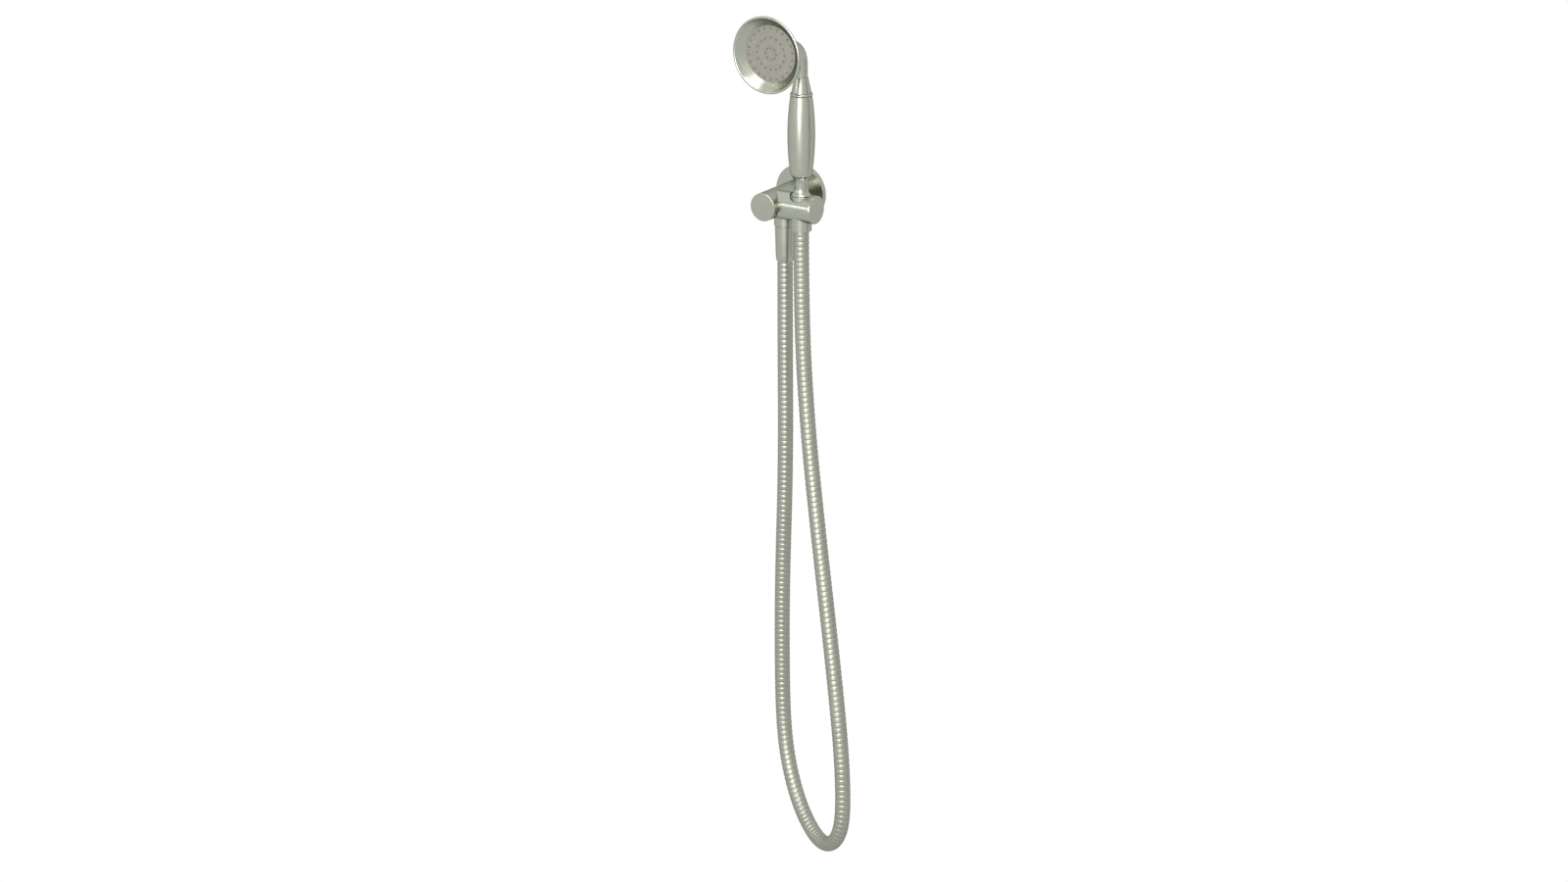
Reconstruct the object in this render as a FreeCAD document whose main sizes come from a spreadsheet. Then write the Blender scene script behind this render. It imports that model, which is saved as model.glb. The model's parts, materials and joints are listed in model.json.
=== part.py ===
import FreeCAD
import Part
import math
import os
import re
import Sketcher

# Wall-mounted hand shower: a water arm with a cradle, a ribbed hose and a handset.
# Millimetres. +Z is up, +Y goes into the wall, and the origin is on the wall's face,
# on the axis of the water arm.

doc = FreeCAD.newDocument("HandShower")
sheet = doc.addObject("Spreadsheet::Sheet", "Sizes")

SIZES = {
    # The water arm and its cover plate on the wall.
    "flange_radius": 30.6,
    "flange_depth": 5.5,
    "flange_round": 0.8,
    "flange_bore": 15.6,
    "recess_radius": 27.0,
    "recess_depth": 3.2,
    "seal_bore": 23.0,
    "arm_radius": 15.5,
    "arm_front": 79.8,
    "arm_back": 0.6,
    "arm_chamfer": 0.8,
    "waterway_radius": 5.5,
    "waterway_end": 41.0,
    "inlet_radius": 10.48,
    "inlet_reach": 14.0,
    "inlet_socket": 13.0,
    # The outlet under the arm and its check valve.
    "outlet_forward": 34.5,
    "boss_radius": 12.0,
    "boss_bottom": 29.6,
    "boss_top": 8.0,
    "boss_bore": 9.0,
    "nipple_top": 14.5,
    "thread_radius": 10.3,
    "nipple_length": 9.0,
    "valve_radius": 7.2,
    "valve_wall": 1.0,
    "valve_top": 17.0,
    "valve_length": 20.5,
    "seat_radius": 4.0,
    "stem_radius": 1.22,
    "stem_clearance": 0.06,
    "valve_seat": 1.8,
    "valve_floor": 1.5,
    "flow_hole": 1.35,
    "poppet_lap": 1.2,
    "poppet_top": 2.1,
    "poppet_bottom": 3.7,
    "stem_top": 4.6,
    "spring_top": 4.9,
    "spring_inside": 0.6,
    "spring_outside": 1.1,
    "washer_bore": 5.0,
    "washer_depth": 2.0,
    "restrictor_bore": 1.6,
    # The cradle that holds the handset.
    "cradle_radius": 15.5,
    "cradle_start": 4.5,
    "cradle_end": 55.4,
    "cradle_round": 1.7,
    "spigot_radius": 7.0,
    "spigot_start": -7.0,
    "spigot_reach": 25.0,
    "screw_radius": 2.0,
    "facet_low": 29.0,
    "facet_high": 75.0,
    "flat_width": 20.0,
    "flat_height": 10.0,
    "seat_half": 20.0,
    "saddle_gap": 0.15,
    "slot_width": 18.6,
    "taper_gap": 0.4,
    # The handset's vertical axis and its hose nut.
    "grip_x": 35.4,
    "grip_forward": 57.6,
    "nut_top": 13.6,
    "nut_taper_end": 24.7,
    "nut_bottom": 25.2,
    "nut_edge": 0.5,
    "nut_wide": 11.9,
    "nut_narrow": 11.35,
    "nut_lip": 2.0,
    "nut_bore": 9.4,
    "wall_nut_wide": 11.1,
    "wall_nut_narrow": 10.3,
    "wall_nut_taper": 31.4,
    "wall_nut_drop": 40.4,
    "wall_nut_mouth": 9.2,
    "wall_nut_curve": 36.0,
    # The hose and its end fittings.
    "hose_radius": 8.5,
    "hose_groove": 7.95,
    "hose_bore": 6.5,
    "liner_radius": 6.3,
    "liner_bore": 4.35,
    "tail_radius": 4.1,
    "tail_bore": 3.2,
    "tail_length": 20.0,
    "barb_pitch": 5.0,
    "barb_slope": 4.0,
    "barb_height": 0.5,
    "collar_radius": 9.7,
    "collar_depth": 2.2,
    "sleeve_radius": 9.1,
    "sleeve_bore": 8.6,
    "sleeve_length": 20.0,
    # The handle.
    "ferrule_bottom": 14.0,
    "ferrule_lip": 10.85,
    "ferrule_waist": 7.35,
    "ferrule_cove": 10.9,
    "lip_edge": 0.6,
    "lower_cove": 8.6,
    "upper_cove": 9.9,
    "upper_cove_round": 12.3,
    "shoulder_edge": 0.7,
    "socket_floor": 2.0,
    "ferrule_top": 37.5,
    "grip_end_radius": 11.8,
    "grip_middle_radius": 14.9,
    "grip_wall": 2.0,
    "grip_top": 124.0,
    "spigot_length": 9.0,
    "handle_spigot": 8.5,
    "core_radius": 6.0,
    "core_bore": 4.6,
    "ring_section": 0.65,
    "ring_inset": 4.5,
    "bead_side": 11.05,
    "bead_round": 1.65,
    "collar_bottom": 127.3,
    "collar_top": 144.0,
    "collar_wide": 10.7,
    "collar_narrow": 7.45,
    "collar_floor": 3.0,
    "collar_foot": 2.0,
    # The neck and the spray head.
    "neck_radius": 6.9,
    "neck_bore": 5.2,
    "neck_start": 130.0,
    "elbow_radius": 24.2,
    "head_height": 181.5,
    "bell_fillet": 6.1,
    "bell_root": 3.4,
    "bell_flare": 1.2,
    "shell_wall": 1.7,
    "seat_edge": 1.3,
    "seat_ledge": 4.0,
    "seat_depth": 1.6,
    "bell_edge_radius": 41.0,
    "bell_edge": 66.8,
    "bell_seat": 57.4,
    "bell_seat_radius": 32.7,
    "rim_bead": 68.4,
    "rim_bead_radius": 40.3,
    "rim_bead_round": 1.4,
    "rim_lip": 30.7,
    "face_front": 60.2,
    "face_radius": 31.2,
    "gasket_depth": 0.5,
    "nozzle_base": 1.45,
    "nozzle_tip": 0.95,
    "nozzle_height": 1.1,
    "jet_radius": 0.45,
    "inner_ring": 6.4,
    "middle_ring": 17.1,
    "outer_ring": 27.5,
    "diffuser_radius": 23.9,
    "diffuser_depth": 1.6,
    "diffuser_drop": 7.0,
    "diffuser_lip": 1.2,
    "spread_radius": 2.4,
}

for row, (cell_name, cell_value) in enumerate(SIZES.items(), start=1):
    sheet.set("A%d" % row, cell_name)
    sheet.set("B%d" % row, str(cell_value))
    sheet.setAlias("B%d" % row, cell_name)
doc.recompute()

# Where the round pieces stand. The base is given by cells, and the turn takes the
# piece's own axis from +Z to the axis it has on the object.
UPRIGHT = FreeCAD.Rotation(0, 0, 0)
OUTWARD = FreeCAD.Rotation(FreeCAD.Vector(1, 0, 0), 90)
SIDEWAYS = FreeCAD.Rotation(FreeCAD.Vector(0, 1, 0), 90)
WALL = {"turn": OUTWARD}
OUTLET = {"y": "-outlet_forward", "turn": UPRIGHT}
HANDSET = {"x": "grip_x", "y": "-grip_forward", "turn": UPRIGHT}
HEAD = {"x": "grip_x", "y": "-grip_forward", "z": "head_height", "turn": OUTWARD}
CRADLE = {"y": "-grip_forward", "turn": SIDEWAYS}

pieces = []


def cells(text):
    """An expression in the sheet's own names, as the document reads it."""
    return re.sub(r"\b(?!cos\b|sin\b|sqrt\b|deg\b)[a-z]\w+", r"Sizes.\g<0>", text)


def value(text):
    """The number that an expression in the sheet's names gives now."""
    return float(sheet.evalExpression(cells(text)))


def bind(thing, prop, text):
    thing.setExpression(prop, cells(text))


def put(thing, place):
    for axis in "xyz":
        if axis in place:
            bind(thing, ".Placement.Base." + axis, place[axis])
    thing.Placement.Rotation = place["turn"]


def keep(thing, label):
    thing.Label = label
    pieces.append(thing)
    return thing


def plane(body, role):
    return [item for item in body.Origin.OriginFeatures if item.Role == role][0]


def outline(sketch, points):
    """A closed outline through (radius, height) points. A point with two more items
    is reached by an arc of that radius, bulging to the left or right of its way."""
    at = [FreeCAD.Vector(value(p[0]), value(p[1]), 0) for p in points]
    starts = []
    for index, point in enumerate(points):
        here = at[index - 1]
        there = at[index]
        if len(point) == 2:
            edge = sketch.addGeometry(Part.LineSegment(here, there), False)
            starts.append((edge, 1, 2))
            continue
        radius = value(point[2])
        chord = there - here
        half = chord.Length / 2
        side = 1 if point[3] == "left" else -1
        normal = FreeCAD.Vector(-chord.y, chord.x, 0).normalize() * side
        inset = math.sqrt(max(radius ** 2 - half ** 2, 0))
        centre = (here + there) / 2 - normal * inset
        first, last = (there, here) if side > 0 else (here, there)
        begin = math.atan2(first.y - centre.y, first.x - centre.x)
        end = math.atan2(last.y - centre.y, last.x - centre.x)
        circle = Part.Circle(centre, FreeCAD.Vector(0, 0, 1), radius)
        arc = Part.ArcOfCircle(circle, begin, end if end > begin else end + 2 * math.pi)
        edge = sketch.addGeometry(arc, False)
        starts.append((edge, 2, 1) if side > 0 else (edge, 1, 2))
        limit = sketch.addConstraint(Sketcher.Constraint("Radius", edge, radius))
        bind(sketch, "Constraints[%d]" % limit, point[2])
    for index, (edge, start, end) in enumerate(starts):
        following = starts[(index + 1) % len(starts)]
        joint = Sketcher.Constraint("Coincident", edge, end, following[0], following[1])
        sketch.addConstraint(joint)
        for kind, text, length in (("DistanceX", points[index][0], at[index].x),
                                   ("DistanceY", points[index][1], at[index].y)):
            size = Sketcher.Constraint(kind, -1, 1, edge, end, length)
            bind(sketch, "Constraints[%d]" % sketch.addConstraint(size), text)


def turned(label, place, points, keep_it=True):
    """A piece turned about its own axis, from its outline."""
    body = doc.addObject("PartDesign::Body", label + "_body")
    sketch = body.newObject("Sketcher::SketchObject", label + "_outline")
    sketch.AttachmentSupport = [(plane(body, "XZ_Plane"), "")]
    sketch.MapMode = "FlatFace"
    outline(sketch, points)
    turning = body.newObject("PartDesign::Revolution", label + "_turned")
    turning.Profile = sketch
    turning.ReferenceAxis = (sketch, ["V_Axis"])
    turning.Angle = 360
    sketch.Visibility = False
    put(body, place)
    if keep_it:
        keep(body, label)
    return body


def cylinder(name, radius, height, x="0", y="0", z="0", turn=UPRIGHT):
    solid = doc.addObject("Part::Cylinder", name)
    bind(solid, "Radius", radius)
    bind(solid, "Height", height)
    put(solid, {"x": x, "y": y, "z": z, "turn": turn})
    return solid


def cut(name, base, tool):
    result = doc.addObject("Part::Cut", name)
    result.Base = base
    result.Tool = tool
    return result


def fuse(name, shapes):
    result = doc.addObject("Part::MultiFuse", name)
    result.Shapes = shapes
    return result


def circle_sketch(body, name, support, circles):
    """Circles in a sketch, each from (radius, x, y) in the sheet's names."""
    sketch = body.newObject("Sketcher::SketchObject", name)
    sketch.AttachmentSupport = [(support, "")]
    sketch.MapMode = "FlatFace"
    for radius, x, y in circles:
        centre = FreeCAD.Vector(value(x), value(y), 0)
        ring = Part.Circle(centre, FreeCAD.Vector(0, 0, 1), value(radius))
        edge = sketch.addGeometry(ring, False)
        size = Sketcher.Constraint("Radius", edge, value(radius))
        bind(sketch, "Constraints[%d]" % sketch.addConstraint(size), radius)
        for kind, text, length in (("DistanceX", x, centre.x), ("DistanceY", y, centre.y)):
            size = Sketcher.Constraint(kind, -1, 1, edge, 3, length)
            bind(sketch, "Constraints[%d]" % sketch.addConstraint(size), text)
    sketch.Visibility = False
    return sketch


# The wall end of the water arm.

turned("wall_flange", WALL, [
    ("flange_bore", "recess_depth"),
    ("flange_bore", "flange_depth"),
    ("flange_radius - flange_round", "flange_depth"),
    ("flange_radius", "flange_depth - flange_round", "flange_round", "left"),
    ("flange_radius", "0"),
    ("recess_radius", "0"),
    ("recess_radius", "recess_depth"),
])

turned("flange_seal", WALL, [
    ("seal_bore", "0"),
    ("seal_bore", "recess_depth - 0.1"),
    ("recess_radius - 0.2", "recess_depth - 0.1"),
    ("recess_radius - 0.2", "0"),
])

turned("inlet_tail", WALL, [
    ("waterway_radius", "-inlet_reach"),
    ("waterway_radius", "inlet_socket - 0.5"),
    ("inlet_radius - 0.3", "inlet_socket - 0.5"),
    ("inlet_radius - 0.3", "arm_back"),
    ("inlet_radius", "arm_back"),
    ("inlet_radius", "-inlet_reach"),
])

arm_bar = turned("arm_bar", WALL, [
    ("0", "waterway_end"),
    ("0", "arm_front"),
    ("arm_radius - arm_chamfer", "arm_front"),
    ("arm_radius", "arm_front - arm_chamfer"),
    ("arm_radius", "arm_back"),
    ("inlet_radius - 0.25", "arm_back"),
    ("inlet_radius - 0.25", "inlet_socket"),
    ("waterway_radius", "inlet_socket"),
    ("waterway_radius", "waterway_end"),
], keep_it=False)
boss = cylinder("arm_boss", "boss_radius", "boss_bottom - boss_top",
                y="-outlet_forward", z="-boss_bottom")
arm_blank = fuse("arm_blank", [arm_bar, boss])
arm_openings = fuse("arm_openings", [
    cylinder("boss_hole", "boss_bore", "boss_bottom - nipple_top + 1",
             y="-outlet_forward", z="-boss_bottom - 1"),
    cylinder("riser_hole", "waterway_radius", "boss_bottom",
             y="-outlet_forward", z="-boss_bottom"),
    cylinder("spigot_hole", "spigot_radius + 0.05", "spigot_reach",
             x="spigot_start - 0.3", y="-grip_forward", turn=SIDEWAYS),
    cylinder("screw_hole", "screw_radius + 0.05", "arm_radius",
             y="-grip_forward", z="-arm_radius - 1"),
])
keep(cut("arm_drilled", arm_blank, arm_openings), "supply_arm")

# The outlet nipple with its check valve, and the washer below it.

turned("outlet_nipple", OUTLET, [
    ("valve_radius + 0.05", "-boss_bottom - nipple_length"),
    ("thread_radius", "-boss_bottom - nipple_length"),
    ("thread_radius", "-boss_bottom"),
    ("boss_bore - 0.05", "-boss_bottom"),
    ("boss_bore - 0.05", "-nipple_top"),
    ("waterway_radius", "-nipple_top"),
    ("waterway_radius", "-valve_top"),
    ("valve_radius + 0.05", "-valve_top"),
])

valve_cup = turned("check_valve_body", OUTLET, [
    ("seat_radius", "-valve_top"),
    ("seat_radius", "-valve_top - valve_seat"),
    ("valve_radius - valve_wall", "-valve_top - valve_seat"),
    ("valve_radius - valve_wall", "-valve_top - valve_length + valve_floor"),
    ("stem_radius + stem_clearance", "-valve_top - valve_length + valve_floor"),
    ("stem_radius + stem_clearance", "-valve_top - valve_length"),
    ("valve_radius", "-valve_top - valve_length"),
    ("valve_radius", "-valve_top"),
])
flow_hole = circle_sketch(valve_cup, "flow_hole", plane(valve_cup, "XY_Plane"),
                          [("flow_hole", "seat_radius", "0")])
bind(flow_hole, ".AttachmentOffset.Base.z", "-valve_top - valve_length + 2")
flow_cut = valve_cup.newObject("PartDesign::Pocket", "flow_cut")
flow_cut.Profile = flow_hole
bind(flow_cut, "Length", "valve_floor * 2")
flow_ring = valve_cup.newObject("PartDesign::PolarPattern", "flow_ring")
flow_ring.Originals = [flow_cut]
flow_ring.Axis = (flow_hole, ["N_Axis"])
flow_ring.Angle = 360
flow_ring.Occurrences = 6
valve_cup.Tip = flow_ring

turned("check_valve_poppet", OUTLET, [
    ("0", "-valve_top - poppet_top"),
    ("seat_radius + poppet_lap", "-valve_top - poppet_top"),
    ("seat_radius + poppet_lap", "-valve_top - poppet_bottom"),
    ("stem_radius", "-valve_top - stem_top"),
    ("stem_radius", "-valve_top - valve_length - 0.4"),
    ("0", "-valve_top - valve_length - 0.4"),
])

turned("check_valve_spring", OUTLET, [
    ("stem_radius + spring_inside", "-valve_top - spring_top"),
    ("stem_radius + spring_outside", "-valve_top - spring_top"),
    ("stem_radius + spring_outside", "-valve_top - valve_length + valve_floor + 0.1"),
    ("stem_radius + spring_inside", "-valve_top - valve_length + valve_floor + 0.1"),
])


def flat_ring(label, place, inner, outer, low, high):
    """A plain flat ring, such as a washer."""
    turned(label, place, [(inner, low), (outer, low), (outer, high), (inner, high)])


WASHER_LOW = "-boss_bottom - nipple_length - washer_depth"
flat_ring("outlet_washer", OUTLET, "washer_bore", "collar_radius - 0.1",
          WASHER_LOW, "-boss_bottom - nipple_length")

# The fittings at the two ends of the hose. Each pair hangs below the face that
# carries it, and the hose starts square under the insert's collar.

WALL_END = "-boss_bottom - nipple_length - washer_depth - collar_depth"
HANDSET_END = "-0.3 - collar_depth"


def hose_end(insert, sleeve, place, end):
    """A barbed insert with its collar, and the sleeve crimped over the hose."""
    root = "tail_radius - barb_height"
    tail = [("tail_bore", end + " + collar_depth"), ("collar_radius", end + " + collar_depth"),
            ("collar_radius", end), (root, end)]
    for step in (1, 2, 3):
        top = end + " - barb_pitch * %d" % step
        tail += [(root, top), ("tail_radius", top), (root, top + " - barb_slope")]
    tail += [(root, end + " - tail_length"), ("tail_bore", end + " - tail_length")]
    turned(insert, place, tail)
    flat_ring(sleeve, place, "sleeve_bore", "sleeve_radius",
              end + " - sleeve_length", end + " - 0.4")


def hose_nut(label, place, top, taper_end, bottom, wide, narrow, mouth, curve, end):
    """A tapered nut that screws on from below and rounds off to the hose."""
    turned(label, place, [
        ("thread_radius + 0.05", top),
        (wide + " - 0.5", top),
        (wide, top + " - 0.5"),
        (narrow, taper_end),
        (mouth, bottom, curve, "left"),
        ("hose_radius + 0.3", bottom),
        ("hose_radius + 0.3", bottom + " + nut_lip"),
        ("nut_bore", bottom + " + nut_lip"),
        ("nut_bore", end + " - 0.4"),
        ("thread_radius + 0.05", end + " - 0.4"),
    ])


hose_end("hose_insert_wall", "hose_sleeve_wall", OUTLET, WALL_END)
hose_nut("hose_nut_wall", OUTLET, "-boss_bottom - 0.4", "-boss_bottom - wall_nut_taper",
         "-boss_bottom - wall_nut_drop", "wall_nut_wide", "wall_nut_narrow",
         "wall_nut_mouth", "wall_nut_curve", WALL_END)
hose_end("hose_insert_handset", "hose_sleeve_handset", HANDSET, HANDSET_END)
hose_nut("hose_nut_handset", HANDSET, "nut_top", "-nut_taper_end", "-nut_bottom",
         "nut_wide", "nut_narrow", "nut_narrow - nut_edge", "nut_edge", HANDSET_END)

# The cradle: a cylinder saddled to the arm's side and held by a spigot and a screw,
# with a tapered seat for the nut, a slot at the back for the hose and a flat along
# its upper front.

barrel = turned("cradle_barrel", CRADLE, [
    ("0", "cradle_start"),
    ("0", "cradle_end"),
    ("cradle_radius - cradle_round", "cradle_end"),
    ("cradle_radius", "cradle_end - cradle_round", "cradle_round", "left"),
    ("cradle_radius", "cradle_start"),
], keep_it=False)
arm_room = cylinder("arm_room", "arm_radius + saddle_gap", "arm_front",
                    y="-arm_front - 5", turn=FreeCAD.Rotation(FreeCAD.Vector(1, 0, 0), -90))
saddled = cut("cradle_saddled", barrel, arm_room)
spigot = cylinder("cradle_spigot", "spigot_radius", "spigot_reach",
                  x="spigot_start", y="-grip_forward", turn=SIDEWAYS)
cradle_blank = fuse("cradle_blank", [saddled, spigot])
seat = doc.addObject("Part::Cone", "tapered_seat")
TAPER = "(nut_wide - nut_narrow) / (nut_top + nut_taper_end)"
bind(seat, "Radius1", "nut_narrow + taper_gap + (nut_taper_end - seat_half) * " + TAPER)
bind(seat, "Radius2", "nut_narrow + taper_gap + (nut_taper_end + seat_half) * " + TAPER)
bind(seat, "Height", "seat_half * 2")
put(seat, {"x": "grip_x", "y": "-grip_forward", "z": "-seat_half", "turn": UPRIGHT})
slot = doc.addObject("Part::Box", "hose_slot")
bind(slot, "Length", "slot_width")
bind(slot, "Width", "cradle_radius * 1.3")
bind(slot, "Height", "seat_half * 2")
put(slot, {"x": "grip_x - slot_width / 2", "y": "-grip_forward", "z": "-seat_half",
           "turn": UPRIGHT})
flat = doc.addObject("Part::Box", "front_flat")
bind(flat, "Length", "cradle_end")
bind(flat, "Width", "flat_width")
bind(flat, "Height", "flat_height")
FLAT_ANGLE = value("(facet_low + facet_high) / 2")
FLAT_DEPTH = "cradle_radius * cos((facet_high - facet_low) * 0.5 * 1deg)"
flat.Placement.Rotation = FreeCAD.Rotation(FreeCAD.Vector(1, 0, 0), 90 - FLAT_ANGLE)
lean = math.radians(FLAT_ANGLE)
bind(flat, ".Placement.Base.x", "cradle_start - 1")
bind(flat, ".Placement.Base.y", "-grip_forward - %s * %.6f - flat_width / 2 * %.6f"
     % (FLAT_DEPTH, math.cos(lean), math.sin(lean)))
bind(flat, ".Placement.Base.z", "%s * %.6f - flat_width / 2 * %.6f"
     % (FLAT_DEPTH, math.sin(lean), math.cos(lean)))
cradle_openings = fuse("cradle_openings", [seat, slot, flat])
keep(cut("cradle_cut", cradle_blank, cradle_openings), "cradle")
keep(cylinder("set_screw", "screw_radius", "arm_radius - spigot_radius - 1.2",
              y="-grip_forward", z="-arm_radius + 1"),
     "cradle_grub_screw")

# The handset's handle.

flat_ring("filter_washer", HANDSET, "washer_bore - 0.2", "collar_radius - 0.1",
          "0", "washer_depth")
flat_ring("flow_restrictor", HANDSET, "restrictor_bore", "washer_bore - 0.1",
          "washer_depth + 2", "washer_depth + 5")

turned("handle_ferrule", HANDSET, [
    ("washer_bore", "washer_depth"),
    ("thread_radius", "washer_depth"),
    ("thread_radius", "ferrule_bottom"),
    ("ferrule_lip", "ferrule_bottom"),
    ("ferrule_lip", "ferrule_bottom + lip_edge"),
    ("ferrule_waist", "ferrule_bottom + lower_cove", "ferrule_cove", "left"),
    ("ferrule_waist", "ferrule_top - upper_cove"),
    ("grip_end_radius - 0.3", "ferrule_top - shoulder_edge", "upper_cove_round", "left"),
    ("grip_end_radius", "ferrule_top"),
    ("handle_spigot", "ferrule_top"),
    ("handle_spigot", "ferrule_top + spigot_length"),
    ("core_radius + 0.1", "ferrule_top + spigot_length"),
    ("core_radius + 0.1", "ferrule_top + socket_floor"),
    ("washer_bore", "ferrule_top + socket_floor"),
])

GRIP_ARC = "((grip_top - ferrule_top)^2 / 4 + (grip_middle_radius - grip_end_radius)^2)" \
           " / (2 * (grip_middle_radius - grip_end_radius))"
turned("handle_grip", HANDSET, [
    ("grip_end_radius - grip_wall", "grip_top"),
    ("grip_end_radius - grip_wall", "ferrule_top", GRIP_ARC + " - grip_wall", "left"),
    ("grip_end_radius", "ferrule_top"),
    ("grip_end_radius", "grip_top", GRIP_ARC, "right"),
])

flat_ring("handle_core", HANDSET, "core_bore", "core_radius",
          "ferrule_top + socket_floor + 0.3", "grip_top - collar_floor - 0.3")


def sealing_ring(label, radius, height):
    """An O-ring round the handset's axis."""
    ring = doc.addObject("Part::Torus", label + "_torus")
    bind(ring, "Radius1", radius)
    bind(ring, "Radius2", "ring_section")
    put(ring, {"x": "grip_x", "y": "-grip_forward", "z": height, "turn": UPRIGHT})
    keep(ring, label)


sealing_ring("grip_o_ring_lower", "handle_spigot + ring_section", "ferrule_top + ring_inset")
sealing_ring("grip_o_ring_upper", "handle_spigot + ring_section", "grip_top - ring_inset")

turned("bead_ring", HANDSET, [
    ("handle_spigot + 0.1", "grip_top + 0.05"),
    ("bead_side", "grip_top + 0.05"),
    ("bead_side", "collar_bottom - 0.05", "bead_round", "right"),
    ("handle_spigot + 0.1", "collar_bottom - 0.05"),
])

turned("neck_collar", HANDSET, [
    ("washer_bore", "grip_top - collar_floor"),
    ("core_radius + 0.1", "grip_top - collar_floor"),
    ("core_radius + 0.1", "grip_top - spigot_length"),
    ("handle_spigot", "grip_top - spigot_length"),
    ("handle_spigot", "collar_bottom"),
    ("collar_wide", "collar_bottom"),
    ("collar_wide - 0.2", "collar_bottom + collar_foot"),
    ("collar_narrow", "collar_top"),
    ("neck_radius + 0.05", "collar_top"),
    ("neck_radius + 0.05", "neck_start"),
    ("washer_bore", "neck_start"),
])

# The neck: one pipe, up from the collar and round to the spray head.

neck = doc.addObject("PartDesign::Body", "neck_body")
pipe_section = circle_sketch(neck, "pipe_section", plane(neck, "XY_Plane"),
                             [("neck_radius", "0", "0"), ("neck_bore", "0", "0")])
pipe_line = neck.newObject("Sketcher::SketchObject", "pipe_line")
pipe_line.AttachmentSupport = [(plane(neck, "YZ_Plane"), "")]
pipe_line.MapMode = "FlatFace"
rise = value("head_height - elbow_radius - neck_start")
elbow = value("elbow_radius")
up = pipe_line.addGeometry(Part.LineSegment(FreeCAD.Vector(0, 0, 0),
                                            FreeCAD.Vector(0, rise, 0)), False)
bend = pipe_line.addGeometry(Part.ArcOfCircle(
    Part.Circle(FreeCAD.Vector(-elbow, rise, 0), FreeCAD.Vector(0, 0, 1), elbow),
    0, math.pi / 2), False)
for joint in (Sketcher.Constraint("Coincident", -1, 1, up, 1),
              Sketcher.Constraint("Vertical", up),
              Sketcher.Constraint("Tangent", up, 2, bend, 1)):
    pipe_line.addConstraint(joint)
for kind, text, size in (("DistanceY", "head_height - elbow_radius - neck_start", rise),
                         ("Radius", "elbow_radius", elbow)):
    ends = (up, 1, up, 2) if kind == "DistanceY" else (bend,)
    index = pipe_line.addConstraint(Sketcher.Constraint(kind, *ends, size))
    bind(pipe_line, "Constraints[%d]" % index, text)
level = pipe_line.addConstraint(Sketcher.Constraint("DistanceX", bend, 2, -1, 1, elbow))
bind(pipe_line, "Constraints[%d]" % level, "elbow_radius")
pipe = neck.newObject("PartDesign::AdditivePipe", "neck_sweep")
pipe.Profile = pipe_section
pipe.Spine = pipe_line
put(neck, {"x": "grip_x", "y": "-grip_forward", "z": "neck_start", "turn": UPRIGHT})
keep(neck, "neck_pipe")

# The spray head, turned about the axis that points away from the wall.

turned("head_shell", HEAD, [
    ("neck_bore", "elbow_radius"),
    ("neck_radius", "elbow_radius"),
    ("neck_radius + bell_flare", "elbow_radius + bell_root", "bell_fillet", "left"),
    ("bell_seat_radius", "bell_seat"),
    ("bell_edge_radius", "bell_edge"),
    ("bell_edge_radius - shell_wall", "bell_edge"),
    ("bell_seat_radius - 0.8", "bell_seat + 0.9"),
    ("bell_seat_radius - seat_edge", "bell_seat"),
    ("bell_seat_radius - seat_ledge", "bell_seat"),
    ("bell_seat_radius - seat_ledge", "bell_seat - seat_depth"),
    ("neck_bore", "elbow_radius + bell_root - 0.2"),
])

turned("head_rim", HEAD, [
    ("rim_lip", "face_front"),
    ("rim_bead_radius - 1.6", "rim_bead - 0.3"),
    ("rim_bead_radius - 0.9", "rim_bead + 0.9"),
    ("rim_bead_radius + 1.3", "rim_bead - 0.6", "rim_bead_round", "left"),
    ("bell_edge_radius - 0.1", "bell_edge + 0.05"),
    ("bell_edge_radius - 1.9", "bell_edge + 0.05"),
    ("face_radius + 0.4", "face_front - 1.2"),
    ("rim_lip", "face_front - 0.7"),
])

face = turned("spray_face", HEAD, [
    ("0", "bell_seat + gasket_depth"),
    ("face_radius", "bell_seat + gasket_depth"),
    ("face_radius", "face_front - 1.3"),
    ("rim_lip - 0.1", "face_front - 0.8"),
    ("rim_lip - 0.1", "face_front"),
    ("0", "face_front"),
])


def nozzle_ring(name, radius, count):
    """One ring of small tapered nozzles standing on the spray face."""
    tip = circle_sketch(face, name + "_tip", plane(face, "XY_Plane"),
                        [("nozzle_tip", "0", radius)])
    bind(tip, ".AttachmentOffset.Base.z", "face_front + nozzle_height")
    base = circle_sketch(face, name + "_base", plane(face, "XY_Plane"),
                         [("nozzle_base", "0", radius)])
    bind(base, ".AttachmentOffset.Base.z", "face_front - 0.3")
    one = face.newObject("PartDesign::AdditiveLoft", name + "_nozzle")
    one.Profile = base
    one.Sections = [tip]
    one.Ruled = True
    jet = circle_sketch(face, name + "_jet", plane(face, "XY_Plane"),
                        [("jet_radius", "0", radius)])
    bind(jet, ".AttachmentOffset.Base.z", "face_front + nozzle_height + 1")
    drilled = face.newObject("PartDesign::Pocket", name + "_drilled")
    drilled.Profile = jet
    bind(drilled, "Length", "face_front - bell_seat + nozzle_height + 2")
    ring = face.newObject("PartDesign::PolarPattern", name)
    ring.Originals = [one, drilled]
    ring.Axis = (base, ["N_Axis"])
    ring.Angle = 360
    ring.Occurrences = count
    face.Tip = ring


NOZZLES = (("inner_nozzles", "inner_ring", 8),
           ("middle_nozzles", "middle_ring", 16),
           ("outer_nozzles", "outer_ring", 22))
for ring_name, ring_radius, nozzle_count in NOZZLES:
    nozzle_ring(ring_name, ring_radius, nozzle_count)

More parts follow.
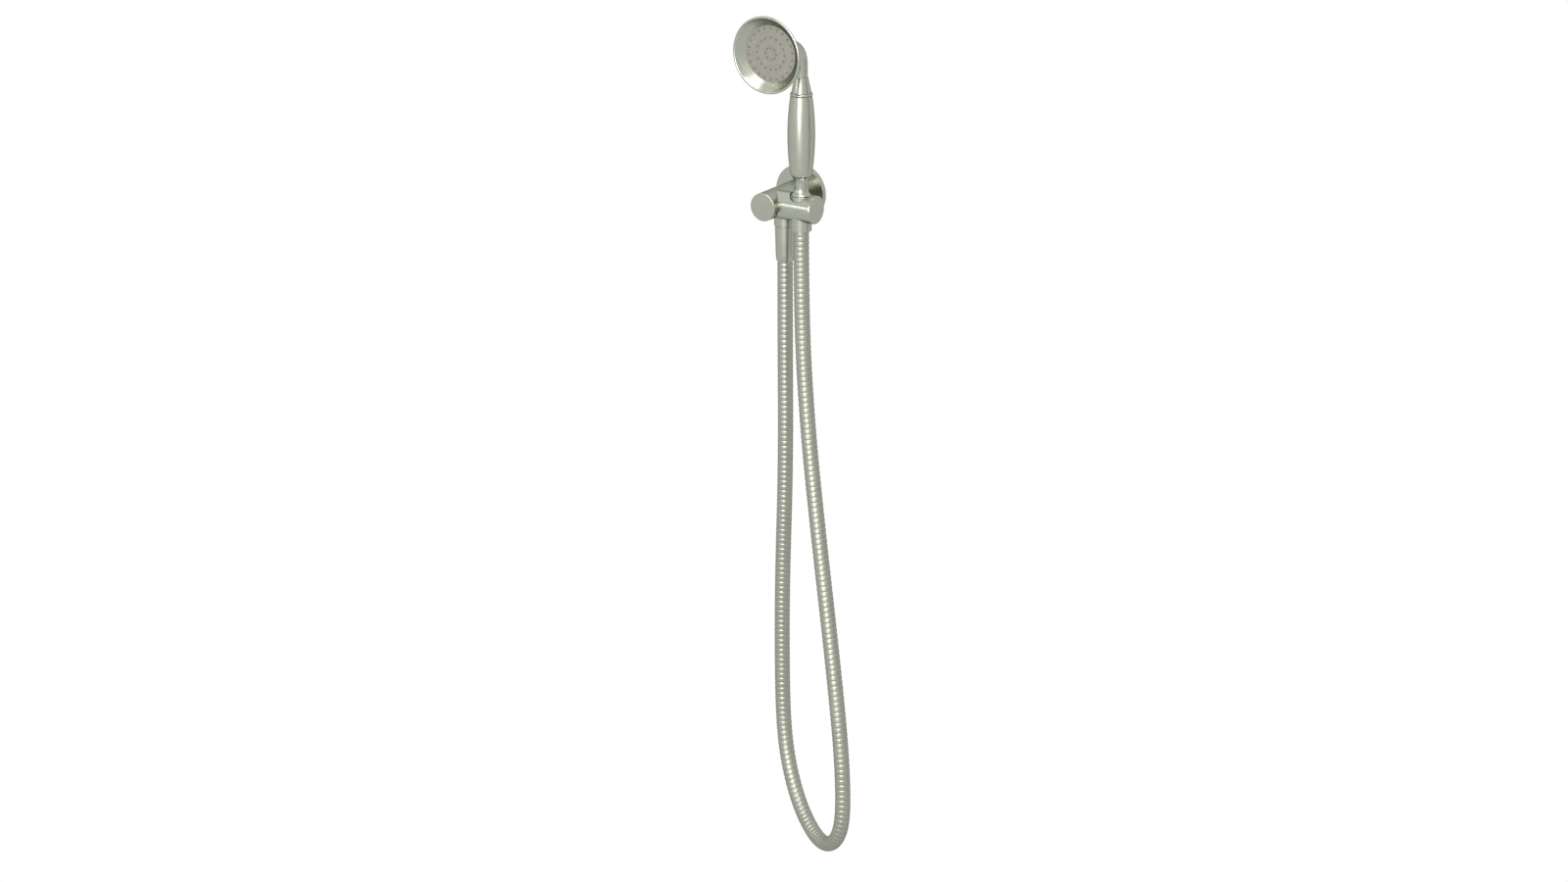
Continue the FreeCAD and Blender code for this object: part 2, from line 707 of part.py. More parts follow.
flat_ring("face_gasket", HEAD, "bell_seat_radius - seat_ledge + 0.2", "face_radius - 0.1",
          "bell_seat", "bell_seat + gasket_depth")

diffuser = turned("head_diffuser", HEAD, [
    ("0", "bell_seat - diffuser_drop"),
    ("diffuser_radius", "bell_seat - diffuser_drop"),
    ("diffuser_radius + diffuser_lip", "bell_seat - diffuser_drop + diffuser_depth"),
    ("0", "bell_seat - diffuser_drop + diffuser_depth"),
])
spread_hole = circle_sketch(diffuser, "spread_hole", plane(diffuser, "XY_Plane"),
                            [("spread_radius", "0", "middle_ring")])
spread_cut = diffuser.newObject("PartDesign::Pocket", "spread_cut")
spread_cut.Profile = spread_hole
bind(spread_cut, "Length", "bell_seat")
spread_cut.Reversed = True
spread_ring = diffuser.newObject("PartDesign::PolarPattern", "spread_ring")
spread_ring.Originals = [spread_cut]
spread_ring.Axis = (spread_hole, ["N_Axis"])
spread_ring.Angle = 360
spread_ring.Occurrences = 8
diffuser.Tip = spread_ring

# The hose hangs in the upright plane through its two ends. Its route is a list of
# (along, up) points: along from the outlet towards the handset, up from the arm's axis.

ROUTE = [(0, -42.8), (0, -160), (2, -300), (-8, -450), (-8, -560), (-3, -624), (13, -667),
         (42, -701), (80, -720), (113, -720), (141, -702), (156, -672), (155.5, -624),
         (146, -566), (120, -466), (90, -362), (60, -245), (42.27, -120), (42.27, -2.5)]
RIBS = 190
# One rib, as shares of the pitch with the radius there.
RIB_FORM = ((0.04, "hose_groove"), (0.24, "hose_radius"), (0.80, "hose_radius"),
            (0.96, "hose_groove"))
BEND_SHARE = 0.45
OUT = FreeCAD.Vector(0, value("-outlet_forward"), 0)
ACROSS = FreeCAD.Vector(value("grip_x"), value("outlet_forward - grip_forward"), 0)
ALONG = FreeCAD.Vector(ACROSS).normalize()
UP = FreeCAD.Vector(0, 0, 1)
SIDE = ALONG.cross(UP)


def hose_path(route):
    """The hose's middle line: straight runs joined by tangent arcs."""
    points = [OUT + ALONG * along + UP * height for along, height in route]
    edges = []
    here = points[0]
    radii = []
    for before, corner, after in zip(points, points[1:], points[2:]):
        back = before - corner
        on = after - corner
        reach = BEND_SHARE * min(back.Length, on.Length)
        start = corner + FreeCAD.Vector(back).normalize() * reach
        end = corner + FreeCAD.Vector(on).normalize() * reach
        half_turn = (math.pi - back.getAngle(on)) / 2
        radius = reach / math.tan(half_turn)
        radii.append(round(radius))
        middle = FreeCAD.Vector(back).normalize() + FreeCAD.Vector(on).normalize()
        depth = radius * (1 / math.cos(half_turn) - 1)
        through = corner + middle.normalize() * depth
        edges.append(Part.LineSegment(here, start).toShape())
        edges.append(Part.Arc(start, through, end).toShape())
        here = end
    edges.append(Part.LineSegment(here, points[-1]).toShape())
    return Part.Wire(edges), radii


def station(path, distance):
    """The point and the direction on the path at a distance from its start."""
    for edge in path.Edges:
        if distance <= edge.Length + 1e-6:
            at = edge.getParameterByLength(min(distance, edge.Length))
            return edge.valueAt(at), edge.tangentAt(at)
        distance -= edge.Length
    return edge.valueAt(edge.LastParameter), edge.tangentAt(edge.LastParameter)


def ring_wire(path, distance, radius):
    """A circle square to the path, its start always on the loop plane's far side."""
    centre, direction = station(path, distance)
    axes = FreeCAD.Rotation(SIDE, SIDE, direction, "ZXY")
    circle = Part.Circle(centre, direction, radius)
    circle.XAxis = SIDE
    return Part.Wire([circle.toShape()])


hose_line, hose_radii = hose_path(ROUTE)
hose_length = hose_line.Length
plain_end = 2 * value("hose_radius")
pitch = (hose_length - 2 * plain_end) / RIBS
rings = [ring_wire(hose_line, 0, value("hose_groove"))]
for rib in range(RIBS):
    begin = plain_end + rib * pitch
    for share, radius in RIB_FORM:
        rings.append(ring_wire(hose_line, begin + share * pitch, value(radius)))
rings.append(ring_wire(hose_line, hose_length, value("hose_groove")))
hose_outside = Part.makeLoft(rings, True, True)


def tube(radius):
    """A round bar along the hose's whole line."""
    section = Part.Wire([Part.Circle(hose_line.Vertexes[0].Point, UP * -1, radius).toShape()])
    return hose_line.makePipeShell([section], True, False)


shower_hose = doc.addObject("Part::Feature", "shower_hose")
shower_hose.Shape = hose_outside.cut(tube(value("hose_bore")))
keep(shower_hose, "shower_hose")
hose_liner = doc.addObject("Part::Feature", "hose_liner")
hose_liner.Shape = tube(value("liner_radius")).cut(tube(value("liner_bore")))
keep(hose_liner, "hose_liner")

doc.recompute()

# Checks before anything is written.

for thing in doc.Objects:
    if any(state in ("Invalid", "Error") for state in thing.State):
        raise SystemExit("failed: %s %s" % (thing.Name, thing.State))
for piece in pieces:
    shape = piece.Shape
    if shape.isNull() or not shape.isValid():
        raise SystemExit("bad shape: " + piece.Label)
    if len(shape.Solids) != 1:
        raise SystemExit("%s has %d solids" % (piece.Label, len(shape.Solids)))
expected = math.pi * (value("liner_radius") ** 2 - value("liner_bore") ** 2) * hose_length
print("hose length %.1f, rib pitch %.2f, bend radii %s" % (hose_length, pitch, hose_radii))
print("liner volume %.0f, section times length %.0f" % (hose_liner.Shape.Volume, expected))
print("gap between two ribs %.2f" % (pitch * (1 - RIB_FORM[2][0] + RIB_FORM[1][0])))

os.makedirs("parts", exist_ok=True)
for piece in pieces:
    piece.Shape.exportStep("parts/%s.step" % piece.Label)
print("%d pieces" % len(pieces))
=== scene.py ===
import bpy
import bmesh
import json
import math
from mathutils import Matrix, Vector


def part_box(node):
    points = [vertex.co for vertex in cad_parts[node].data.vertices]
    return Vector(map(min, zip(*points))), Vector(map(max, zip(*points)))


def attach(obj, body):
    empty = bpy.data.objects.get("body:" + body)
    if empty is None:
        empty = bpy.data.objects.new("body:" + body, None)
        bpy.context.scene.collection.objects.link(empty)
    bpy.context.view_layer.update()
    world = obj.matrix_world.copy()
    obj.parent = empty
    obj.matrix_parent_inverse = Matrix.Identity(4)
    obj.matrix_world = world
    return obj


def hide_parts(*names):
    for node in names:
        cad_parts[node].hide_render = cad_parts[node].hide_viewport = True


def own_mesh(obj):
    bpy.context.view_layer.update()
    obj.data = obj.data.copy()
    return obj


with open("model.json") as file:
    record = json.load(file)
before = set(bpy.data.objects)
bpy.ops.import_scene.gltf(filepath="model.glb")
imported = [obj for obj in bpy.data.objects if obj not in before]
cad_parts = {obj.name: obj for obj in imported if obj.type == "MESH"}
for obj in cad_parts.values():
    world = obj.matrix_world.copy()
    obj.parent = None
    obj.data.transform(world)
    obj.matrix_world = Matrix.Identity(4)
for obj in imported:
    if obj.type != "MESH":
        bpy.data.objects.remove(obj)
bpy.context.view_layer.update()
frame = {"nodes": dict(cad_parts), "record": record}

MM = 0.001  # one millimetre in metres
scene = bpy.context.scene
nodes = frame["nodes"]

# Colours as a render shows them, in linear values.

NICKEL = (0.375, 0.395, 0.335)
NICKEL_EDGE = (0.42, 0.42, 0.39)
HOSE_GREY = (0.34, 0.355, 0.3)
BRASS = (0.62, 0.44, 0.17)
STEEL = (0.42, 0.42, 0.41)
RUBBER = (0.022, 0.022, 0.022)
LINING = (0.08, 0.082, 0.085)
ACETAL = (0.72, 0.72, 0.68)
FACE_GREY = (0.25, 0.25, 0.215)


# Materials

def new_material(name):
    """A new material, its node tree and its shader."""
    material = bpy.data.materials.new(name)
    material.use_nodes = True
    tree = material.node_tree
    return material, tree, tree.nodes["Principled BSDF"]


def add(tree, kind, **settings):
    """A new node of a material, with its settings."""
    node = tree.nodes.new(kind)
    for key, setting in settings.items():
        setattr(node, key, setting)
    return node


def noise(tree, source, scale, detail=2.0, stretch=(1, 1, 1)):
    """Noise over the object's own coordinates, drawn out by stretch."""
    mapping = add(tree, "ShaderNodeMapping")
    mapping.inputs["Scale"].default_value = stretch
    tree.links.new(source, mapping.inputs["Vector"])
    texture = add(tree, "ShaderNodeTexNoise")
    texture.inputs["Scale"].default_value = scale
    texture.inputs["Detail"].default_value = detail
    tree.links.new(mapping.outputs["Vector"], texture.inputs["Vector"])
    return texture.outputs["Fac"]


def ranged(tree, value, low, high, start=0.3, end=0.7):
    """Brings a value from start..end to low..high."""
    node = add(tree, "ShaderNodeMapRange")
    for socket, number in (("From Min", start), ("From Max", end),
                           ("To Min", low), ("To Max", high)):
        node.inputs[socket].default_value = number
    tree.links.new(value, node.inputs["Value"])
    return node.outputs["Result"]


def tinted(tree, colour, factor, spread):
    """The colour, a little darker and lighter as the factor goes from 0 to 1."""
    ramp = add(tree, "ShaderNodeValToRGB")
    for element, share in zip(ramp.color_ramp.elements, (1 - spread, 1 + spread)):
        element.color = [channel * share for channel in colour] + [1]
    tree.links.new(factor, ramp.inputs["Fac"])
    return ramp.outputs["Color"]


def bump(tree, height, strength, distance, normal=None):
    """The surface's normal with a fine relief on it."""
    node = add(tree, "ShaderNodeBump")
    node.inputs["Strength"].default_value = strength
    node.inputs["Distance"].default_value = distance
    tree.links.new(height, node.inputs["Height"])
    if normal:
        tree.links.new(normal, node.inputs["Normal"])
    return node.outputs["Normal"]


# Scale, detail and spread of the patterns, and depth of the relief in millimetres

CLOUD_SCALE, CLOUD_DETAIL, CLOUD_SPREAD = 38, 3.0, 0.05
TURNING_SCALE, TURNING_DETAIL, TURNING_DEPTH = 520, 2.0, 0.05
GRAIN_DETAIL, GRAIN_SPREAD, GRAIN_DEPTH = 4.0, 0.12, 0.1
BEVEL_SAMPLES = 6


def plated(name, colour, roughness, turned, lines=0.04, edge=0.35):
    """Nickel plate: cloudy gloss, the fine lines of turning and softened edges."""
    material, tree, shader = new_material(name)
    place = add(tree, "ShaderNodeTexCoord").outputs["Object"]
    clouds = noise(tree, place, CLOUD_SCALE, CLOUD_DETAIL)
    turning = noise(tree, place, TURNING_SCALE, TURNING_DETAIL, turned)
    rounded = add(tree, "ShaderNodeBevel", samples=BEVEL_SAMPLES)
    rounded.inputs["Radius"].default_value = edge * MM
    relief = bump(tree, turning, lines, TURNING_DEPTH * MM, rounded.outputs["Normal"])
    shader.inputs["Metallic"].default_value = 1.0
    shader.inputs["Specular Tint"].default_value = (*NICKEL_EDGE, 1)
    tree.links.new(tinted(tree, colour, clouds, CLOUD_SPREAD), shader.inputs["Base Color"])
    tree.links.new(ranged(tree, clouds, *roughness), shader.inputs["Roughness"])
    tree.links.new(relief, shader.inputs["Normal"])
    return material


def plain_finish(name, colour, roughness, scale, strength, metallic=0.0):
    """Rubber, plastic and bare metal: a fine grain in the colour, gloss and surface."""
    material, tree, shader = new_material(name)
    place = add(tree, "ShaderNodeTexCoord").outputs["Object"]
    grain = noise(tree, place, scale, GRAIN_DETAIL)
    relief = bump(tree, grain, strength, GRAIN_DEPTH * MM)
    shader.inputs["Metallic"].default_value = metallic
    tree.links.new(tinted(tree, colour, grain, GRAIN_SPREAD), shader.inputs["Base Color"])
    tree.links.new(ranged(tree, grain, *roughness), shader.inputs["Roughness"])
    tree.links.new(relief, shader.inputs["Normal"])
    return material


# How the lines of turning are drawn out, by the axis that a piece was turned about

ALONG_Z = (0.3, 0.3, 6)
ALONG_Y = (0.3, 6, 0.3)
ALONG_X = (6, 0.3, 0.3)
NOT_TURNED = (1, 1, 1)

satin_upright = plated("satin nickel, turned upright", NICKEL, (0.28, 0.36), ALONG_Z)
satin_arm = plated("satin nickel, turned arm", NICKEL, (0.26, 0.34), ALONG_Y)
satin_cradle = plated("satin nickel, turned cradle", NICKEL, (0.22, 0.3), ALONG_X, edge=0.15)
bright_upright = plated("bright nickel, turned upright", NICKEL, (0.21, 0.27), ALONG_Z, 0.02)
bright_head = plated("bright nickel, turned head", NICKEL, (0.22, 0.3), ALONG_Y, 0.02)
bright_flange = plated("bright nickel, flange", NICKEL, (0.2, 0.26), ALONG_Y, 0.02)
hose_nickel = plated("nickel strip of the hose", HOSE_GREY, (0.4, 0.48), NOT_TURNED, 0.05, 0.2)
brass = plain_finish("machined brass", BRASS, (0.25, 0.36), 420, 0.1, metallic=1.0)
steel = plain_finish("stainless steel", STEEL, (0.25, 0.35), 420, 0.1, metallic=1.0)
rubber = plain_finish("sealing rubber", RUBBER, (0.6, 0.75), 900, 0.3)
lining = plain_finish("lining of the hose", LINING, (0.55, 0.7), 700, 0.3)
acetal = plain_finish("white acetal", ACETAL, (0.38, 0.5), 600, 0.12)
face_plastic = plain_finish("satin plated plastic", FACE_GREY, (0.4, 0.5), 260, 0.1,
                            metallic=0.55)

# The finish of each solid, and its body as the record gives it

FINISH = {
    "wall_flange": bright_flange,
    "flange_seal": rubber,
    "inlet_tail": brass,
    "supply_arm": satin_arm,
    "outlet_nipple": brass,
    "check_valve_body": acetal,
    "check_valve_poppet": acetal,
    "check_valve_spring": steel,
    "outlet_washer": rubber,
    "hose_insert_wall": brass,
    "hose_sleeve_wall": bright_upright,
    "hose_nut_wall": satin_upright,
    "cradle": satin_cradle,
    "cradle_grub_screw": steel,
    "hose_insert_handset": brass,
    "hose_sleeve_handset": bright_upright,
    "hose_nut_handset": satin_upright,
    "filter_washer": rubber,
    "flow_restrictor": acetal,
    "handle_ferrule": bright_upright,
    "handle_grip": satin_upright,
    "handle_core": brass,
    "grip_o_ring_lower": rubber,
    "grip_o_ring_upper": rubber,
    "bead_ring": bright_upright,
    "neck_collar": bright_upright,
    "neck_pipe": bright_upright,
    "head_shell": bright_head,
    "head_rim": bright_head,
    "spray_face": face_plastic,
    "face_gasket": rubber,
    "head_diffuser": acetal,
}
BODY_OF = {name: body for body, members in frame["record"]["behaviour"]["bodies"].items()
           for name in members}

for name, material in FINISH.items():
    mesh = nodes[name].data
    mesh.materials.clear()
    mesh.materials.append(material)


# Making pieces from a bmesh, with seams in millimetres and angles in degrees

SPIN_STEPS = 32
SEAM_WIDTH = 0.00001
NEW_PIECE_ANGLE = 50
SOLID_SEAM = 0.002
SOLID_ANGLE = 28


def finish_piece(name, form, material, body):
    """Makes an object of a bmesh, with its finish, riding on a body."""
    mesh = bpy.data.meshes.new(name)
    form.to_mesh(mesh)
    form.free()
    mesh.materials.append(material)
    piece = bpy.data.objects.new(name, mesh)
    scene.collection.objects.link(piece)
    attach(piece, body)
    return piece


def smooth_by_angle(form, degrees):
    """Smooth faces, with a sharp edge where two of them meet at more than the angle."""
    for face in form.faces:
        face.smooth = True
    for edge in form.edges:
        if len(edge.link_faces) == 2:
            edge.smooth = edge.calc_face_angle(0) < math.radians(degrees)


def spun(outline):
    """A closed outline of (radius, height), in millimetres, spun round the Z axis."""
    form = bmesh.new()
    corners = [form.verts.new((radius * MM, 0, height * MM)) for radius, height in outline]
    edges = [form.edges.new(pair) for pair in zip(corners, corners[1:] + corners[:1])]
    bmesh.ops.spin(form, geom=corners + edges, cent=(0, 0, 0), axis=(0, 0, 1),
                   angle=2 * math.pi, steps=SPIN_STEPS, use_merge=True, use_duplicate=False)
    bmesh.ops.remove_doubles(form, verts=form.verts, dist=SEAM_WIDTH * MM)
    bmesh.ops.recalc_face_normals(form, faces=form.faces)
    return form


# The hose, a wound metal strip over a lining, in the upright plane of outlet and handset

OUTLET = Vector((0, -34.5, 0))
HANDSET = Vector((35.4, -57.6, 0))
ALONG = (HANDSET - OUTLET).normalized()
UP = Vector((0, 0, 1))
ROUTE = [(0, -42.8), (0, -160), (2, -300), (-8, -450), (-8, -560), (-3, -624), (13, -667),
         (42, -701), (80, -720), (113, -720), (141, -702), (156, -672), (155.5, -624),
         (146, -566), (120, -466), (90, -362), (60, -245), (42.27, -120), (42.27, -2.5)]
HOSE_RADIUS = 8.5
HOSE_GROOVE = 7.95
HOSE_BORE = 6.4
BORE_LIMIT = 6.5
LINING_INDEX = 1
LINE_STEPS = 48
PLAIN_END = 17.0
CORE_RADIUS = 6.25
CORE_GROOVE = 5.8
CORE_BORE = 5.2
CORE_START = 3.0
CORE_LENGTH = 92.0
TANGENT_REACH = 2.0
RIB_PITCH = 5.8
# One rib of the wound strip, as shares of the pitch and shares of its height
RIB_FORM = [(0.0, 0.0), (0.09, 0.0), (0.17, 0.6), (0.25, 0.93), (0.31, 1.0), (0.8, 1.0),
            (0.87, 0.93), (0.94, 0.6)]


def hose_line():
    """The hose's middle line, as points read from its spline, in metres."""
    curve = bpy.data.curves.new("hose_line", "CURVE")
    curve.dimensions = "3D"
    curve.resolution_u = LINE_STEPS
    spline = curve.splines.new("NURBS")
    spline.points.add(len(ROUTE) - 1)
    for point, (along, height) in zip(spline.points, ROUTE):
        point.co = (*((OUTLET + ALONG * along + UP * height) * MM), 1)
    spline.order_u = 3
    spline.use_endpoint_u = True
    holder = bpy.data.objects.new("hose_line", curve)
    mesh = bpy.data.meshes.new_from_object(holder)
    points = [vertex.co.copy() for vertex in mesh.vertices]
    bpy.data.objects.remove(holder)
    bpy.data.meshes.remove(mesh)
    return points


class Path:
    """Places along a line of points, by the distance from its start."""

    def __init__(self, points):
        self.points = points
        self.marks = [0.0]
        for before, after in zip(points, points[1:]):
            self.marks.append(self.marks[-1] + (after - before).length)
        self.length = self.marks[-1]

    def at(self, distance):
        """The point that many metres along the line."""
        distance = min(max(distance, 0.0), self.length)
        low, high = 0, len(self.marks) - 1
        while high - low > 1:
            middle = (low + high) // 2
            if self.marks[middle] <= distance:
                low = middle
            else:
                high = middle
        share = (distance - self.marks[low]) / (self.marks[high] - self.marks[low])
        return self.points[low].lerp(self.points[high], share)

    def direction(self, distance):
        """The line's direction there, over a short reach to both sides."""
        reach = TANGENT_REACH * MM
        return (self.at(distance + reach) - self.at(distance - reach)).normalized()


def ribs(count, pitch, start, groove, crest):
    """The outline of a row of ribs, as (radius, height) points."""
    return [(groove + rise * (crest - groove), start + (rib + share) * pitch)
            for rib in range(count) for share, rise in RIB_FORM]


def hose_core(path):
    """The flexible core inside the hose's last stretch, which follows the lifted handset."""
    count = round(CORE_LENGTH / RIB_PITCH)
    length = count * RIB_PITCH
    outside = ribs(count, RIB_PITCH, 0, CORE_GROOVE, CORE_RADIUS)
    form = spun(outside + [(CORE_GROOVE, length), (CORE_BORE, length), (CORE_BORE, 0.0)])
    top = path.at(path.length - CORE_START * MM)
    bmesh.ops.translate(form, vec=top - UP * length * MM, verts=form.verts)
    smooth_by_angle(form, NEW_PIECE_ANGLE)
    return finish_piece("hose_core_at_handset", form, hose_nickel, "hose_end")


def straight_hose(length):
    """The whole hose stretched out along Z, with a lined bore."""
    ribbed_part = length - 2 * PLAIN_END
    count = round(ribbed_part / RIB_PITCH)
    pitch = ribbed_part / count
    outside = [(HOSE_GROOVE, 0.0)]
    outside += ribs(count, pitch, PLAIN_END, HOSE_GROOVE, HOSE_RADIUS)
    outside.append((HOSE_GROOVE, length))
    inside = [(HOSE_BORE, 0.0)]
    inside += [(HOSE_BORE, PLAIN_END + rib * pitch) for rib in range(0, count, 2)]
    inside.append((HOSE_BORE, length))
    form = spun(outside + inside[::-1])
    for face in form.faces:
        if all(vertex.co.xy.length < BORE_LIMIT * MM for vertex in face.verts):
            face.material_index = LINING_INDEX
    return form


def ribbed_hose():
    """The hose bent along its line, with the core inside its last stretch."""
    path = Path(hose_line())
    form = straight_hose(path.length / MM)
    side = ALONG.cross(UP)
    for vertex in form.verts:
        distance = vertex.co.z
        across = path.direction(distance).cross(side)
        vertex.co = path.at(distance) + side * vertex.co.x + across * vertex.co.y
    form.normal_update()
    smooth_by_angle(form, NEW_PIECE_ANGLE)
    piece = finish_piece("ribbed_metal_hose", form, hose_nickel, "bracket")
    piece.data.materials.append(lining)
    ends = [nodes[name] for name in ("hose_insert_wall", "hose_sleeve_wall",
                                     "hose_insert_handset", "hose_sleeve_handset")]
    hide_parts("shower_hose", "hose_liner")
    [plated_pieces["hose_nut_wall"], hose_core(path)] + ends


# The spring of the check valve, a coil of wire that shortens as the poppet opens

SPRING_WIRE = 0.25
SPRING_TURNS = 6
SPRING_STEPS = 24
WIRE_SIDES = 8


def valve_spring():
    """The coil, spun upwards from a ring and closed at its ends."""
    low, high = (Vector(corner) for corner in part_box("check_valve_spring"))
    middle = (low + high) / 2
    radius = (high.x - low.x) / 2 - SPRING_WIRE * MM
    height = high.z - low.z
    rise = height - 2 * SPRING_WIRE * MM
    form = bmesh.new()
    bmesh.ops.create_circle(form, segments=WIRE_SIDES, radius=SPRING_WIRE * MM)
    stand = Matrix.Translation((radius, 0, 0)) @ Matrix.Rotation(math.pi / 2, 4, "X")
    bmesh.ops.transform(form, matrix=stand, verts=form.verts)
    steps = SPRING_TURNS * SPRING_STEPS
    bmesh.ops.spin(form, geom=form.verts[:] + form.edges[:], cent=(0, 0, 0), axis=(0, 0, 1),
                   dvec=(0, 0, rise / steps), angle=2 * math.pi * SPRING_TURNS, steps=steps,
                   use_merge=False, use_duplicate=False)
    bmesh.ops.holes_fill(form, edges=form.edges, sides=0)
    place = (middle.x, middle.y, low.z + SPRING_WIRE * MM)
    bmesh.ops.translate(form, vec=place, verts=form.verts)
    bmesh.ops.recalc_face_normals(form, faces=form.faces)
    smooth_by_angle(form, NEW_PIECE_ANGLE)
    piece = finish_piece("coiled_valve_spring", form, steel, BODY_OF["check_valve_spring"])
    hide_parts("check_valve_spring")
    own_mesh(piece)


valve_spring()


# The visible solids again, merged and shaded smooth

SEEN = ("wall_flange", "supply_arm", "hose_nut_wall", "cradle", "hose_nut_handset",
        "handle_ferrule", "handle_grip", "bead_ring", "neck_collar", "neck_pipe",
        "head_shell", "head_rim", "spray_face")


def smooth_twin(name):
    """A merged copy of a CAD solid, smooth where its surface is round."""
    form = bmesh.new()
    form.from_mesh(nodes[name].data)
    bmesh.ops.remove_doubles(form, verts=form.verts, dist=SOLID_SEAM * MM)
    smooth_by_angle(form, SOLID_ANGLE)
    piece = finish_piece(name + "_plated", form, FINISH[name], BODY_OF[name])
    weighted = piece.modifiers.new("weighted normals", "WEIGHTED_NORMAL")
    weighted.keep_sharp = True
    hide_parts(name)
    return piece


plated_pieces = {name: smooth_twin(name) for name in SEEN}
ribbed_hose()


# The studio: a pale floor, soft lamps and a white background

FLOOR_HEIGHT = -1.05
FLOOR_WIDTH = 9
FLOOR_GREY = 0.8
MATT = 0.9
ROOM_LIGHT = 0.55
MIDDLE = Vector((0.02, -0.05, -0.2))


def turned_to(place, look_at):
    """The turn that points -Z from a place to another."""
    return (Vector(look_at) - Vector(place)).to_track_quat("-Z", "Y")


def panel(name, width, height, place, look_at):
    """A flat panel that faces a point."""
    form = bmesh.new()
    bmesh.ops.create_grid(form, x_segments=1, y_segments=1, size=0.5)
    bmesh.ops.scale(form, vec=(width, height, 1), verts=form.verts)
    turn = turned_to(place, look_at).to_matrix().to_4x4()
    bmesh.ops.transform(form, matrix=Matrix.Translation(place) @ turn, verts=form.verts)
    mesh = bpy.data.meshes.new(name)
    form.to_mesh(mesh)
    form.free()
    card = bpy.data.objects.new(name, mesh)
    scene.collection.objects.link(card)
    return card


def seen_rays(tree):
    """1 for rays from the camera, and for those that metal or glass sends on."""
    rays = add(tree, "ShaderNodeLightPath")
    total = rays.outputs["Is Camera Ray"]
    for ray in ("Is Glossy Ray", "Is Transmission Ray"):
        both = add(tree, "ShaderNodeMath", operation="MAXIMUM")
        tree.links.new(total, both.inputs[0])
        tree.links.new(rays.outputs[ray], both.inputs[1])
        total = both.outputs[0]
    return total


def matt_grey(name, grey):
    """A material of one matt grey, for the floor and the cards round the object."""
    material, tree, shader = new_material(name)
    shader.inputs["Base Color"].default_value = (grey, grey, grey, 1)
    shader.inputs["Roughness"].default_value = MATT
    return material


def make_floor():
    """A pale floor for the light, which the camera and the metal see as white."""
    floor = panel("studio_floor", FLOOR_WIDTH, FLOOR_WIDTH, (0, 0, FLOOR_HEIGHT), (0, 0, -2))
    material = matt_grey("pale floor", FLOOR_GREY)
    tree = material.node_tree
    matt = tree.nodes["Principled BSDF"]
    white = add(tree, "ShaderNodeEmission")
    mix = add(tree, "ShaderNodeMixShader")
    tree.links.new(seen_rays(tree), mix.inputs[0])
    tree.links.new(matt.outputs[0], mix.inputs[1])
    tree.links.new(white.outputs[0], mix.inputs[2])
    tree.links.new(mix.outputs[0], tree.nodes["Material Output"].inputs["Surface"])
    floor.data.materials.append(material)


def make_world():
    """A background that is white to look at, and gives a lower, even light."""
    world = bpy.data.worlds.new("studio")
    world.use_nodes = True
    scene.world = world
    tree = world.node_tree
    background = tree.nodes["Background"]
    background.inputs["Color"].default_value = (1, 1, 1, 1)
    strength = ranged(tree, seen_rays(tree), ROOM_LIGHT, 1.0, 0, 1)
    tree.links.new(strength, background.inputs["Strength"])


def around(azimuth, elevation, distance, height=0.0):
    """A place round the object: azimuth 0 is in front, 90 on its right."""
    turn, lift = math.radians(azimuth), math.radians(elevation)
    return Vector((math.sin(turn) * math.cos(lift), -math.cos(turn) * math.cos(lift),
                   math.sin(lift))) * distance + Vector((0, 0, height))


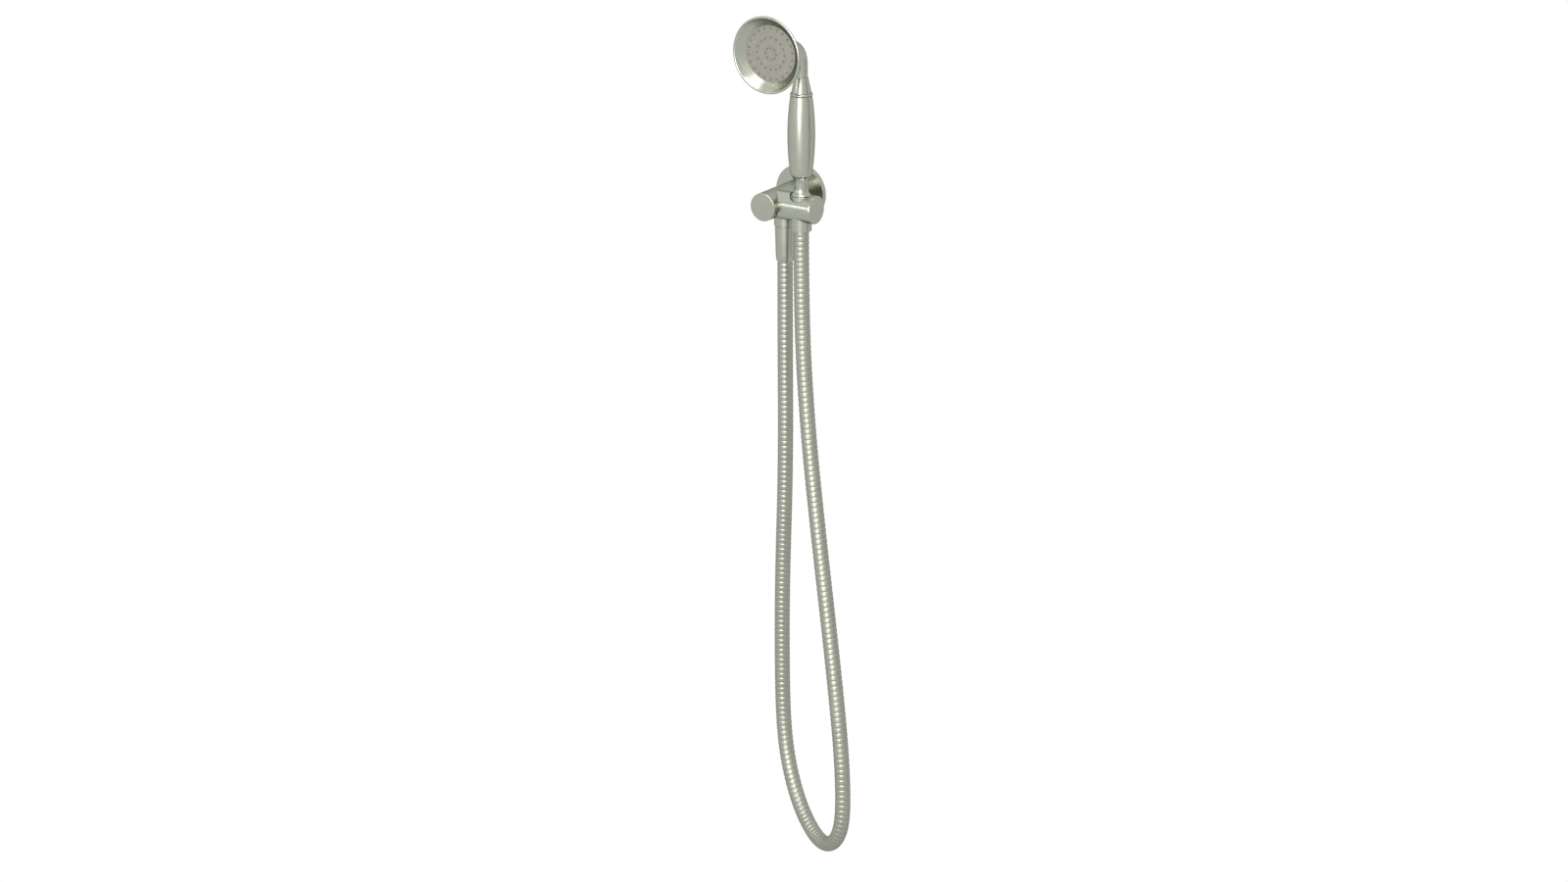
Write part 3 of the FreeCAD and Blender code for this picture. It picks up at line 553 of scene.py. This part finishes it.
def softbox(name, place, width, height, watts, colour=(1, 1, 1)):
    """A soft lamp that faces the object's middle and doesn't show itself."""
    lamp = bpy.data.lights.new(name, "AREA")
    lamp.shape = "RECTANGLE"
    lamp.size = width
    lamp.size_y = height
    lamp.energy = watts
    lamp.color = colour
    holder = bpy.data.objects.new(name, lamp)
    holder.location = place
    holder.rotation_euler = turned_to(place, MIDDLE).to_euler()
    holder.visible_camera = False
    scene.collection.objects.link(holder)


def flag(name, place, width, height, grey):
    """A dark card that only shows as a reflection in the metal."""
    card = panel(name, width, height, place, MIDDLE)
    card.data.materials.append(matt_grey(name, grey))
    card.visible_camera = False
    card.visible_diffuse = False
    card.visible_shadow = False


make_floor()
make_world()
softbox("front_strip", around(16, 12, 2.6, 0.15), 0.6, 1.8, watts=60, colour=(1, 0.93, 0.94))
softbox("top_soft", around(25, 68, 2.2, -0.1), 1.4, 0.9, watts=15)
softbox("left_card", around(-77, 58, 2.2), 1.2, 1.2, watts=0.9)
softbox("left_fill", around(-32, 14, 2.4), 0.6, 0.4, watts=3)
softbox("warm_card", around(33, 22, 2.4), 0.4, 0.5, watts=5, colour=(1, 0.74, 0.52))
flag("right_flag", around(104, -10, 2.4, 0.1), 0.5, 2.0, grey=0.1)
flag("left_flag", around(-37, 33, 2.4), 0.5, 0.3, grey=0.05)


# The camera stands where the photograph was taken from.

AZIMUTH = 32.8
ELEVATION = 18.6
DISTANCE = 4601.0
PAST_LEFT = 19.94
BELOW_MIDDLE = 272.8
SENSOR = 36.0
FOCAL_PIXELS = 4300
IMAGE_WIDTH = 1600
FARTHEST = 50


def make_camera():
    """The photograph's camera, placed in millimetres from the flange's middle."""
    turn, lift = math.radians(AZIMUTH), math.radians(ELEVATION)
    right = Vector((math.cos(turn), math.sin(turn), 0))
    back = Vector((math.sin(turn) * math.cos(lift), -math.cos(turn) * math.cos(lift),
                   math.sin(lift)))
    up = back.cross(right)
    camera = bpy.data.cameras.new("camera")
    camera.sensor_width = SENSOR
    camera.lens = SENSOR * FOCAL_PIXELS / IMAGE_WIDTH
    camera.clip_end = FARTHEST
    holder = bpy.data.objects.new("camera", camera)
    place = (back * DISTANCE - right * PAST_LEFT - up * BELOW_MIDDLE) * MM
    turned = Matrix((right, up, back)).transposed().to_4x4()
    holder.matrix_world = Matrix.Translation(place) @ turned
    scene.collection.objects.link(holder)
    scene.camera = holder


make_camera()
scene.view_settings.view_transform = "Standard"
